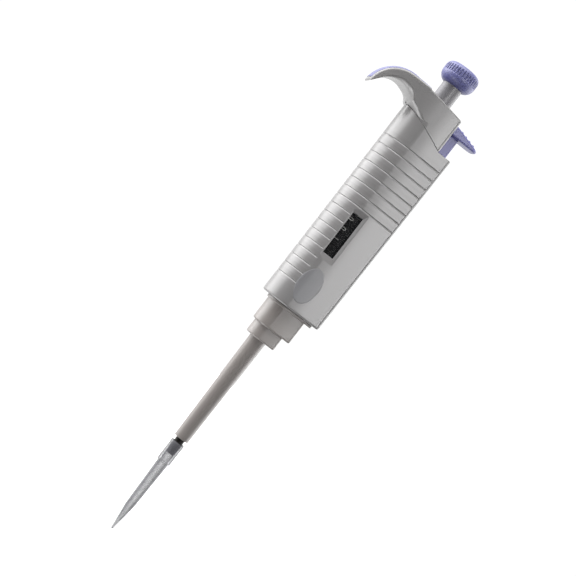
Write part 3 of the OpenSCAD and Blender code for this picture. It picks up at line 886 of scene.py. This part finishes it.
def make_spring(node, body, centre_x, mean_r, wire_r, turns):
    """Helical spring that fills its CAD node's height, from its lower end up."""
    low, high = node_box(node)
    rings = SPRING_STEPS * turns
    rise = high[2] - low[2] - 2 * wire_r
    verts, faces = [], []
    for i in range(rings + 1):
        a = 2 * math.pi * turns * i / rings
        for k in range(SPRING_SIDES):
            b = 2 * math.pi * k / SPRING_SIDES
            r = mean_r + wire_r * math.cos(b)
            z = low[2] + wire_r + rise * i / rings + wire_r * math.sin(b)
            verts.append((centre_x + r * math.cos(a), r * math.sin(a), z))
    for i in range(rings):
        for k in range(SPRING_SIDES):
            here, there = i * SPRING_SIDES, (i + 1) * SPRING_SIDES
            step = (k + 1) % SPRING_SIDES
            faces.append((here + k, there + k, there + step, here + step))
    faces.append(tuple(range(SPRING_SIDES)))
    faces.append(tuple(rings * SPRING_SIDES + k for k in range(SPRING_SIDES)))
    piece = add_mesh(node + "_wire", verts, faces, STEEL, body, 60)
    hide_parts(node)
    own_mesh(piece)


def make_springs():
    make_spring("piston_spring", "handle", 0, 3.5, 0.4, 9)
    make_spring("blowout_spring", "handle", 0, 6.4, 0.5, 3)
    make_spring("ejector_spring", "handle", ROD_X, 1.85, 0.3, 11)


# ---- counter digits and label ----------------------------------------------------------------

# Each drum's body and the digit that it shows at rest
DRUMS = {"drum_units": ("units", 0), "drum_tens": ("tens", 0), "drum_hundreds": ("hundreds", 1)}
DIGIT_SIZE = 3.7
DIGIT_DEPTH = 0.12
DIGIT_SHIFT_DEG = -8.0
DIGIT_STEP_DEG = 36
DIGIT_STRETCH = 0.95


def glyph(text, size):
    """Flat triangles of a number, in millimetres, centred on the origin."""
    curve = bpy.data.curves.new("glyph", "FONT")
    curve.body = text
    curve.size = size
    curve.align_x, curve.align_y = "CENTER", "CENTER"
    curve.resolution_u = 5
    holder = bpy.data.objects.new("glyph", curve)
    bpy.context.scene.collection.objects.link(holder)
    graph = bpy.context.evaluated_depsgraph_get()
    mesh = bpy.data.meshes.new_from_object(holder.evaluated_get(graph))
    points = np.array([v.co[:] for v in mesh.vertices])
    faces = [list(p.vertices) for p in mesh.polygons]
    bpy.data.objects.remove(holder)
    bpy.data.curves.remove(curve)
    bpy.data.meshes.remove(mesh)
    return points, faces


def make_digits():
    r = DRUM_R + DIGIT_DEPTH
    for node, (body, first) in DRUMS.items():
        low, high = node_box(node)
        middle = (low[2] + high[2]) / 2
        verts, faces = [], []
        for digit in range(10):
            points, polygons = glyph(str(digit), DIGIT_SIZE)
            start = len(verts)
            centre = -90 + DIGIT_SHIFT_DEG - DIGIT_STEP_DEG * (digit - first)
            for px, py, _ in points:
                angle = math.radians(centre) - py / DRUM_R
                height = middle + px * DIGIT_STRETCH
                verts.append((r * math.cos(angle), r * math.sin(angle), height))
            faces += [[start + i for i in f] for f in polygons]
        piece = add_mesh(node + "_digits", verts, faces, DIGIT, body)


LABEL_CENTRE = (1.5, 146.2)
LABEL_HALF = (5.7, 9.5)
LABEL_PROUD, LABEL_SUNK = 0.05, 0.1
LABEL_SEGMENTS = 72
LABEL_RINGS = [i / 12 for i in range(12)] + [0.97, 1.0]


def make_label():
    """Blank oval pad on the front, which follows the wall and sinks into it at its rim."""
    verts, faces, count = [], [], LABEL_SEGMENTS
    for ring in LABEL_RINGS:
        lift = LABEL_SUNK if ring == LABEL_RINGS[-1] else -LABEL_PROUD
        for i in range(count):
            a = 2 * math.pi * i / count
            x = LABEL_CENTRE[0] + LABEL_HALF[0] * ring * math.cos(a)
            z = LABEL_CENTRE[1] + LABEL_HALF[1] * ring * math.sin(a)
            wall_y = -BODY_R + float(lean(x)) if x >= 0 else -math.sqrt(BODY_R**2 - x * x)
            verts.append((x, wall_y + lift, z))
    for ring in range(len(LABEL_RINGS) - 1):
        for i in range(count):
            j = (i + 1) % count
            a, b = ring * count, (ring + 1) * count
            faces.append((a + i, a + j, b + j, b + i))
    piece = add_mesh("oval_label", verts, faces, LABEL, "handle", 60)


# ---- camera, light and floor -----------------------------------------------------------------

VIEW_CENTRE = Vector((-0.0035, 0.0, 0.1397))
VIEW_AZIMUTH = -9.0
VIEW_ROLL = 37.7
VIEW_DISTANCE = 0.75


def make_camera():
    data = bpy.data.cameras.new("camera")
    data.lens = 100
    data.sensor_width = 36
    camera = bpy.data.objects.new("camera", data)
    bpy.context.scene.collection.objects.link(camera)
    a, roll = math.radians(VIEW_AZIMUTH), math.radians(VIEW_ROLL)
    away = Vector((math.sin(a), -math.cos(a), 0))
    level = Vector((math.cos(a), math.sin(a), 0))
    up = Vector((0, 0, 1))
    right = math.cos(roll) * level + math.sin(roll) * up
    top = -math.sin(roll) * level + math.cos(roll) * up
    turn = Matrix((right, top, away)).transposed().to_4x4()
    camera.matrix_world = Matrix.Translation(VIEW_CENTRE + away * VIEW_DISTANCE) @ turn
    bpy.context.scene.camera = camera


def lobe(tree, direction, way, low, high, strength):
    """A soft bright patch of the tent round one direction."""
    dot = tree.nodes.new("ShaderNodeVectorMath")
    dot.operation = "DOT_PRODUCT"
    tree.links.new(direction, dot.inputs[0])
    dot.inputs[1].default_value = Vector(way).normalized()
    patch = tree.nodes.new("ShaderNodeMapRange")
    patch.interpolation_type = "SMOOTHSTEP"
    patch.inputs["From Min"].default_value = low
    patch.inputs["From Max"].default_value = high
    patch.inputs["To Max"].default_value = strength
    tree.links.new(dot.outputs["Value"], patch.inputs["Value"])
    return patch.outputs["Result"]


def total(tree, parts):
    result = parts[0]
    for part in parts[1:]:
        node = tree.nodes.new("ShaderNodeMath")
        tree.links.new(result, node.inputs[0])
        tree.links.new(part, node.inputs[1])
        result = node.outputs["Value"]
    return result


TENT_DARK = 0.04
SEEN_WHITE = 1.05
# Each patch of the tent: its direction, the cosines where it starts and is full, its strength
TENT_PATCHES = {
    "back": ((0, 1, 0), -0.15, 0.50, 1.25),
    "left": ((-0.92, 0.20, 0.34), 0.70, 0.96, 5.0),
    "front": ((0.405, -0.910, 0.087), 0.960, 0.994, 8.0),
    "right": ((0.97, 0.20, 0.10), 0.66, 0.97, 2.4),
    "above": ((-0.20, -0.26, 0.94), 0.78, 0.96, 4.2),
    "below": ((-0.40, -0.06, -0.91), 0.72, 0.95, 3.4),
}


def make_light():
    """A white tent that is darker on the viewer's side, and white wherever the camera sees it."""
    world = bpy.data.worlds.new("tent")
    world.use_nodes = True
    tree = world.node_tree
    tree.nodes.clear()
    output = tree.nodes.new("ShaderNodeOutputWorld")
    place = tree.nodes.new("ShaderNodeTexCoord")
    direction = place.outputs["Generated"]
    patches = [lobe(tree, direction, *patch) for patch in TENT_PATCHES.values()]
    base = tree.nodes.new("ShaderNodeValue")
    base.outputs[0].default_value = TENT_DARK
    tent = tree.nodes.new("ShaderNodeBackground")
    tent.inputs["Color"].default_value = (1, 1, 1, 1)
    tree.links.new(total(tree, patches + [base.outputs[0]]), tent.inputs["Strength"])
    seen = tree.nodes.new("ShaderNodeBackground")
    seen.inputs["Color"].default_value = (1, 1, 1, 1)
    seen.inputs["Strength"].default_value = SEEN_WHITE
    path = tree.nodes.new("ShaderNodeLightPath")
    mix = tree.nodes.new("ShaderNodeMixShader")
    tree.links.new(path.outputs["Is Camera Ray"], mix.inputs["Fac"])
    tree.links.new(tent.outputs["Background"], mix.inputs[1])
    tree.links.new(seen.outputs["Background"], mix.inputs[2])
    tree.links.new(mix.outputs["Shader"], output.inputs["Surface"])
    bpy.context.scene.world = world


FLOOR_HALF = 3.0
FLOOR_Z = -0.12


def make_floor():
    material, tree, shader = new_material("pale_floor")
    speck = noise(tree, 40, 3)
    tone = ramp(tree, speck.outputs["Fac"], 0.3, 0.7, 0, 1)
    white = mix_colour(tree, tone, (0.90, 0.90, 0.90), (0.93, 0.93, 0.93))
    tree.links.new(white, shader.inputs["Base Color"])
    shader.inputs["Roughness"].default_value = 0.9
    mesh = bpy.data.meshes.new("floor")
    signs = ((-1, -1), (1, -1), (1, 1), (-1, 1))
    corners = [(a * FLOOR_HALF, b * FLOOR_HALF, FLOOR_Z) for a, b in signs]
    mesh.from_pydata(corners, [], [(0, 1, 2, 3)])
    mesh.materials.append(material)
    floor = bpy.data.objects.new("floor", mesh)
    bpy.context.scene.collection.objects.link(floor)
    floor.visible_diffuse = False
    floor.visible_glossy = False


make_camera()
make_light()
make_floor()
paint_cad_nodes()
make_handle()
make_cap()
make_knob()
make_button()
make_sleeve()
make_tip()
make_springs()
make_digits()
make_label()
bpy.context.scene.view_settings.view_transform = "Standard"
